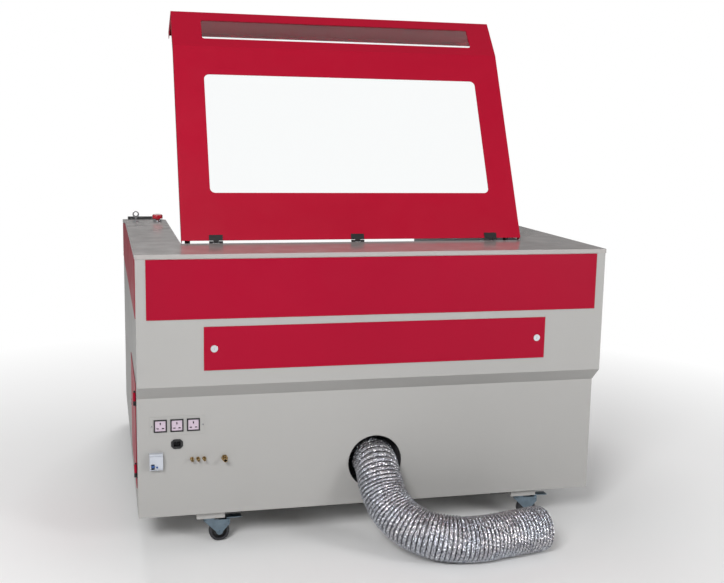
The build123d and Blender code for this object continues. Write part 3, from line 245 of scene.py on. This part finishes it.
def turned(build, centre, axis, profile, segments):
    """Adds a turned shape to a bmesh. profile is (radius, height along the axis) pairs."""
    spin = Vector((0, 0, 1)).rotation_difference(Vector(axis)).to_matrix().to_4x4()
    place = Matrix.Translation(centre) @ spin
    rings = []
    for radius, height in profile:
        if radius < MERGE:
            rings.append([build.verts.new(place @ Vector((0, 0, height)))])
            continue
        turns = [2 * math.pi * i / segments for i in range(segments)]
        corners = [Vector((radius * math.cos(t), radius * math.sin(t), height)) for t in turns]
        rings.append([build.verts.new(place @ corner) for corner in corners])
    for lower, upper in zip(rings, rings[1:]):
        for i in range(segments):
            j = (i + 1) % segments
            quad = [lower[i % len(lower)], lower[j % len(lower)]]
            quad += [upper[j % len(upper)], upper[i % len(upper)]]
            corners = list(dict.fromkeys(quad))
            if len(corners) > 2:
                build.faces.new(corners)


def turned_loop(build, centre, axis, profile, segments):
    """As turned, for a profile that closes on itself, such as a tyre's."""
    turned(build, centre, axis, list(profile) + [profile[0]], segments)
    bmesh.ops.remove_doubles(build, verts=build.verts, dist=MERGE)


# ---- exhaust duct -------------------------------------------------------
DUCT_LENGTH_STEPS = 720
DUCT_TURN_STEPS = 176
WIRE_PITCH = 13.5 * MM
DUCT_RADIUS = 78.0 * MM
# How deep each kind of crumple is, and how often it comes: in noise cells round and along the duct.
SCALLOP = 4.6 * MM
SCALLOP_MIDDLE = 0.75
CRINKLE = 1.5 * MM
CRINKLE_AT_WIRE = 0.4
CELLS_ROUND = 9.0
CELLS_PER_RING = 1.3
BROAD_CREASES = 1.9
FINE_CREASES = 4.7
FINE_SHARE = 0.55
PLEATS = 44
PLEAT_DEPTH = 0.9 * MM
PLEAT_WANDER = 2.2
PLEAT_CELLS = 0.8
DENT = 2.4 * MM
DENT_PER_RING = 0.12
DENT_CELLS = 1.6
FOIL_THICKNESS = 0.8 * MM
BEVEL_INSET = 55.0 * MM
DUCT_LEAD_LENGTH = 60.0 * MM
DUCT_TAIL_LENGTH = 110.0 * MM
# The bend's points in mm: across from the middle, out from the lower rear face, and up from the floor.
DUCT_POINTS = ((0, -8, 282), (-8, 106, 196), (-115, 258, 102), (-250, 297, 82), (-452, 270, 82))
DUCT_TANGENTS = ((0.0, 1.0, 0.0), (-0.98, -0.19, 0.0))
BEND_STEPS = 160


def clamped_spline(points, tangents, count):
    """Points along a smooth cubic curve through the given points, with set end directions."""
    points = np.array(points, float)
    steps = np.linalg.norm(np.diff(points, axis=0), axis=1)
    knots = np.concatenate([[0.0], np.cumsum(steps)])
    size = len(points)
    system = np.zeros((size, size))
    right = np.zeros((size, 3))
    system[0, 0] = system[-1, -1] = 1.0
    right[0], right[-1] = tangents
    for i in range(1, size - 1):
        before, after = steps[i - 1], steps[i]
        system[i, i - 1 : i + 2] = (after, 2 * (before + after), before)
        slope_before = (points[i] - points[i - 1]) / before
        slope_after = (points[i + 1] - points[i]) / after
        right[i] = 3 * (after * slope_before + before * slope_after)
    slopes = np.linalg.solve(system, right)
    out = []
    for at in np.linspace(0, knots[-1], count):
        i = min(int(np.searchsorted(knots, at, side="right")) - 1, size - 2)
        span = steps[i]
        t = (at - knots[i]) / span
        blend = ((1 + 2 * t) * (1 - t) ** 2, t * (1 - t) ** 2 * span)
        blend += (t * t * (3 - 2 * t), t * t * (t - 1) * span)
        start = blend[0] * points[i] + blend[1] * slopes[i]
        out.append(start + blend[2] * points[i + 1] + blend[3] * slopes[i + 1])
    return out


def duct_line():
    """Evenly spaced centre points of the duct, from inside the cabinet to its open end."""
    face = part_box("base_shell")[1].y - BEVEL_INSET
    origin = Vector((CABINET.x, face, 0.0))
    bend = [origin + Vector(p) * MM for p in clamped_spline(DUCT_POINTS, DUCT_TANGENTS, BEND_STEPS)]
    tail = Vector(DUCT_TANGENTS[1]).normalized() * DUCT_TAIL_LENGTH
    line = [bend[0] - Vector((0, DUCT_LEAD_LENGTH, 0))] + bend + [bend[-1] + tail]
    lengths = np.concatenate([[0.0], np.cumsum([(b - a).length for a, b in zip(line, line[1:])])])
    wanted = np.linspace(0, lengths[-1], DUCT_LENGTH_STEPS)
    columns = [np.interp(wanted, lengths, [p[i] for p in line]) for i in range(3)]
    return [Vector(p) for p in zip(*columns)], wanted


def scallop_at(along):
    """How far the foil stands out between two turns of the wire, from 0 at a wire to 1 half way."""
    return abs(math.sin(math.pi * along / WIRE_PITCH))


def crinkled_radius(along, turn):
    """Radius of the foil: scallops between the wire's turns, broken up by creases and pleats."""
    ring = along / WIRE_PITCH
    scallop = scallop_at(along)
    round_x, round_y = math.cos(turn), math.sin(turn)
    where = Vector((round_x * CELLS_ROUND, round_y * CELLS_ROUND, ring * CELLS_PER_RING))
    crease = noise.noise(where * BROAD_CREASES) + FINE_SHARE * noise.noise(where * FINE_CREASES)
    wander = PLEAT_WANDER * noise.noise(where * PLEAT_CELLS)
    pleat = math.sin(turn * PLEATS + wander + math.pi * math.floor(ring))
    dent = noise.noise(Vector((round_x, round_y, ring * DENT_PER_RING)) * DENT_CELLS)
    radius = DUCT_RADIUS + SCALLOP * (scallop - SCALLOP_MIDDLE)
    radius += CRINKLE * crease * (CRINKLE_AT_WIRE + scallop)
    return radius + PLEAT_DEPTH * pleat * scallop + DENT * dent


def skin(build, first, second):
    """Faces between two rings of the same number of points."""
    for j in range(len(first)):
        k = (j + 1) % len(first)
        build.faces.new((first[j], first[k], second[k], second[j]))


def duct():
    """Flexible foil duct: wire-wound, crinkled, with a thin wall and an open end."""
    line, lengths = duct_line()
    build = bmesh.new()
    side = Vector((1, 0, 0))
    outer, inner, ribs = [], [], []
    for i, centre in enumerate(line):
        ahead = (line[min(i + 1, len(line) - 1)] - line[max(i - 1, 0)]).normalized()
        side = (side - ahead * side.dot(ahead)).normalized()
        up = ahead.cross(side)
        ring_out, ring_in = [], []
        for j in range(DUCT_TURN_STEPS):
            turn = 2 * math.pi * j / DUCT_TURN_STEPS
            out = side * math.cos(turn) + up * math.sin(turn)
            radius = crinkled_radius(lengths[i], turn)
            ring_out.append(build.verts.new(centre + out * radius))
            ring_in.append(build.verts.new(centre + out * (radius - FOIL_THICKNESS)))
        outer.append(ring_out)
        inner.append(ring_in)
        ribs += [scallop_at(lengths[i])] * (2 * DUCT_TURN_STEPS)
    for first, second in zip(outer, outer[1:]):
        skin(build, first, second)
    for first, second in zip(inner, inner[1:]):
        skin(build, second, first)
    skin(build, inner[0], outer[0])
    skin(build, outer[-1], inner[-1])
    piece = from_bmesh("foil_duct", build)
    piece.data.attributes.new("rib", "FLOAT", "POINT").data.foreach_set("value", ribs)
    finish_mesh(piece, FOIL, "cabinet", 60)
    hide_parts("exhaust_duct")


# ---- castor wheels ------------------------------------------------------
AXLE_BORE = 5.1 * MM
WHEEL_STEPS = 96
# Sections as (part of the wheel's radius, part of its half width) pairs.
TYRE = ((0.70, -1.0), (0.86, -1.0), (0.96, -0.80), (0.985, -0.5), (1.0, -0.12), (0.992, 0.0), (1.0, 0.12),
        (0.985, 0.5), (0.96, 0.80), (0.86, 1.0), (0.70, 1.0), (0.68, 0.7), (0.68, -0.7))
HALF_HUB = ((0.30, 1.0), (0.34, 0.45), (0.60, 0.35), (0.66, 0.85), (0.695, 0.85), (0.678, 0.6))


def castor_wheels():
    """Rubber-tyred wheels: a crowned tyre with moulding ridges, and a dished hub."""
    for place in PLACES:
        node = "castor_wheel_" + place
        low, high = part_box(node)
        centre, radius, half = middle(node), (high.z - low.z) / 2, (high.y - low.y) / 2
        hub = [(AXLE_BORE, -half)] + [(part * radius, -out * half) for part, out in HALF_HUB]
        hub += [(part * radius, out * half) for part, out in reversed(HALF_HUB)] + [(AXLE_BORE, half)]
        tyre = [(part * radius, out * half) for part, out in TYRE]
        for name, profile, material in (("tyre_", tyre, RUBBER), ("hub_", hub, DARK)):
            build = bmesh.new()
            turned_loop(build, centre, (0, 1, 0), profile, WHEEL_STEPS)
            piece = from_bmesh(name + place, build)
            finish_mesh(piece, material, node)
        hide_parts(node)


# ---- small fittings -----------------------------------------------------
SCREW_RADIUS = 2.8 * MM
SCREW_INSET = 6.0 * MM
SCREW_STEPS = 24
# A pan head with a shallow dish for its recess, as (radius, height) parts of its radius.
PAN_HEAD = ((0.0, 0.25), (0.35, 0.30), (0.42, 0.62), (0.75, 0.55), (0.97, 0.25), (1.0, 0.0), (0.0, 0.0))


def fitting_screws():
    """Two screws on the socket plate."""
    build = bmesh.new()
    low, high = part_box("socket_plate")
    profile = [(radius * SCREW_RADIUS, height * SCREW_RADIUS) for radius, height in PAN_HEAD]
    for x in (low.x + SCREW_INSET, high.x - SCREW_INSET):
        turned(build, Vector((x, high.y, (low.z + high.z) / 2)), (0, 1, 0), profile, SCREW_STEPS)
    finish_mesh(from_bmesh("socket_plate_screws", build), STEEL, "cabinet")


# ---- CAD nodes ----------------------------------------------------------
NODE_LOOKS = {
    GREY: ["base_shell", "upper_shell", "front_deck", "socket_plate", "castor_mounts"],
    TOP_GREY: ["top_plate"],
    RED: ["stripe_panels", "rear_door", "side_door", "front_door"],
    LID_RED: ["lid_shell"],
    FRAME_GREY: ["base_frame", "tube_supports", "work_chamber", "exhaust_plenum", "laser_power_supply"],
    DARK: ["lid_hinge_leaves", "hinge_pins", "strut_anchors", "strut_cylinder_right", "strut_cylinder_left"],
    ACRYLIC: ["lid_panes"],
    STEEL: ["strut_rod_right", "strut_rod_left", "y_rails", "y_drive_shaft", "y_bearings", "lid_handle"],
    CHROME: ["rear_door_lock_right", "rear_door_lock_left", "side_door_lock", "key", "switch_bodies"],
    BLACK_PLASTIC: ["power_sockets", "power_inlet", "control_panel", "control_electronics"],
    WHITE_PLASTIC: ["breaker_body"],
    BLUE_PLASTIC: ["breaker_toggle", "breaker_test_button"],
    RED_PLASTIC: ["emergency_stop"],
    BRASS: ["hose_barbs"],
    GLASS: ["laser_tube"],
    ALUMINIUM: ["fixed_mirror", "gantry_beam", "laser_head", "honeycomb_bed"],
    BELT: ["y_belts"],
    PANEL: ["panel_inserts"],
    ZINC: ["castor_fork_" + place for place in PLACES] + ["castor_brake_" + place for place in PLACES[:2]],
}


def dress_cad_nodes():
    """Gives every CAD node its material."""
    for material, names in NODE_LOOKS.items():
        for name in names:
            dress(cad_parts[name].data, material, 30)


# How far the sockets' pale faces lie behind their frames.
INSERT_DEPTHS = (0.5 * MM, 2.5 * MM)


def socket_inserts():
    """Pale insert faces inside the three black socket frames."""
    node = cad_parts["power_sockets"]
    node.data.materials.append(PINK_PLASTIC)
    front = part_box("power_sockets")[1].y
    for face in node.data.polygons:
        recessed = INSERT_DEPTHS[0] < front - face.center.y < INSERT_DEPTHS[1]
        if recessed and face.normal.y > 0.9:
            face.material_index = 1


# From the cabinet's middle, just short of the castor pads.
PAD_INNER_EDGE = 546.5 * MM


def paint_castor_block_shade():
    """Blocks beside the castor pads, nearer the cabinet's middle than the pads, given satin black as painted
    shade for the shadow under the cabinet.
    """
    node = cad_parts["castor_mounts"]
    node.data.materials.append(DARK)
    for face in node.data.polygons:
        # Painted shade: faces nearer the middle than the pads take satin black, for the shadow they lie in.
        if abs(face.center.x - CABINET.x) < PAD_INNER_EDGE:
            face.material_index = 1


# ---- stage --------------------------------------------------------------
# The camera's place in metres from the floor under the cabinet's middle, and its angles in radians.
CAMERA_OFFSET = Vector((0.9546, 4.3894, 1.5195))
CAMERA_YAW = 0.2455
CAMERA_PITCH = 0.1627
CAMERA_ROLL = -0.0182
CAMERA_LENS = 52.17
SENSOR_WIDTH = 36.0
ROOM_LOW = 0.16
ROOM_HIGH = 0.52
FLOOR_REACH = 14.0
FLOOR_FADE = (1.2, 3.2)
WHITE = (1.0, 1.0, 1.0, 1.0)


def stage_camera():
    """Camera behind the machine, a little to its right, looking slightly down."""
    ahead = Vector((-math.sin(CAMERA_YAW) * math.cos(CAMERA_PITCH),
                    -math.cos(CAMERA_YAW) * math.cos(CAMERA_PITCH), -math.sin(CAMERA_PITCH)))
    right = Vector((-math.cos(CAMERA_YAW), math.sin(CAMERA_YAW), 0.0))
    down = ahead.cross(right)
    level = right * math.cos(CAMERA_ROLL) + down * math.sin(CAMERA_ROLL)
    plumb = down * math.cos(CAMERA_ROLL) - right * math.sin(CAMERA_ROLL)
    data = bpy.data.cameras.new("camera")
    data.lens, data.sensor_width = CAMERA_LENS, SENSOR_WIDTH
    camera = bpy.data.objects.new("camera", data)
    bpy.context.scene.collection.objects.link(camera)
    turn = Matrix((level, -plumb, -ahead)).transposed()
    origin = Vector((CABINET.x, CABINET.y, 0.0)) + CAMERA_OFFSET
    camera.matrix_world = Matrix.Translation(origin) @ turn.to_4x4()
    bpy.context.scene.camera = camera


def stage_floor():
    """Pale floor that fades to plain white away from the machine, as far as the camera sees."""
    data = bpy.data.meshes.new("floor")
    corners = [(x * FLOOR_REACH, y * FLOOR_REACH, 0) for x, y in ((-1, -1), (1, -1), (1, 1), (-1, 1))]
    data.from_pydata(corners, [], [(0, 1, 2, 3)])
    floor = bpy.data.objects.new("floor", data)
    bpy.context.scene.collection.objects.link(floor)
    shader = Shader("floor")
    tone = shader.mix(shader.noise(0.8, 3.0), (0.84, 0.84, 0.84, 1.0), (0.88, 0.88, 0.88, 1.0))
    shader.set(Base_Color=tone, Roughness=0.75)
    away = shader.add("ShaderNodeVectorMath", {0: shader.place}, operation="LENGTH").outputs["Value"]
    seen = shader.add("ShaderNodeLightPath").outputs["Is Camera Ray"]
    far = shader.spread(away, 0.0, 1.0, *FLOOR_FADE)
    fade = shader.add("ShaderNodeMath", {0: far, 1: seen}, operation="MULTIPLY").outputs[0]
    glow = shader.add("ShaderNodeEmission", {"Color": WHITE}).outputs[0]
    blend = shader.add("ShaderNodeMixShader", {0: fade, 1: shader.bsdf.outputs[0], 2: glow}).outputs[0]
    shader.tree.links.new(blend, shader.tree.nodes["Material Output"].inputs["Surface"])
    data.materials.append(shader.material)


def area_light(name, place, aim, size, power):
    """A square lamp at a place, turned to its aim."""
    data = bpy.data.lights.new(name, "AREA")
    data.shape, data.size, data.energy = "SQUARE", size, power
    light = bpy.data.objects.new(name, data)
    light.location = place
    light.rotation_euler = (Vector(aim) - Vector(place)).to_track_quat("-Z", "Y").to_euler()
    bpy.context.scene.collection.objects.link(light)


def studio_world():
    """White to the camera, and a darker grey room, brighter overhead, for light and reflections."""
    world = bpy.data.worlds.new("studio")
    world.use_nodes = True
    tree = world.node_tree
    nodes, link = tree.nodes, tree.links.new
    backdrop = nodes["Background"]
    backdrop.inputs["Color"].default_value = WHITE
    room = nodes.new("ShaderNodeBackground")
    height = nodes.new("ShaderNodeSeparateXYZ")
    link(nodes.new("ShaderNodeTexCoord").outputs["Generated"], height.inputs[0])
    ramp = nodes.new("ShaderNodeMapRange")
    for name, value in (("From Min", -0.1), ("From Max", 0.9), ("To Min", ROOM_LOW), ("To Max", ROOM_HIGH)):
        ramp.inputs[name].default_value = value
    link(height.outputs["Z"], ramp.inputs["Value"])
    link(ramp.outputs[0], room.inputs["Strength"])
    rays = nodes.new("ShaderNodeLightPath")
    seen = nodes.new("ShaderNodeMath")
    seen.operation = "MAXIMUM"
    link(rays.outputs["Is Camera Ray"], seen.inputs[0])
    link(rays.outputs["Is Transmission Ray"], seen.inputs[1])
    both = nodes.new("ShaderNodeMixShader")
    link(seen.outputs[0], both.inputs[0])
    link(room.outputs[0], both.inputs[1])
    link(backdrop.outputs[0], both.inputs[2])
    link(both.outputs[0], nodes["World Output"].inputs["Surface"])
    bpy.context.scene.world = world


def stage_lights():
    """Two lamps behind the machine, where the camera is, and one above its front."""
    studio_world()
    area_light("key", (2.4, 4.8, 3.4), (0, 0, 0.7), 1.6, 190.0)
    area_light("fill", (-3.4, 4.6, 2.2), (0, 0, 0.6), 1.4, 90.0)
    area_light("front", (0.4, -4.2, 4.2), (0, 0, 0.5), 2.4, 120.0)
    bpy.context.scene.view_settings.view_transform = "Standard"


dress_cad_nodes()
socket_inserts()
paint_castor_block_shade()
duct()
castor_wheels()
fitting_screws()
stage_camera()
stage_floor()
stage_lights()
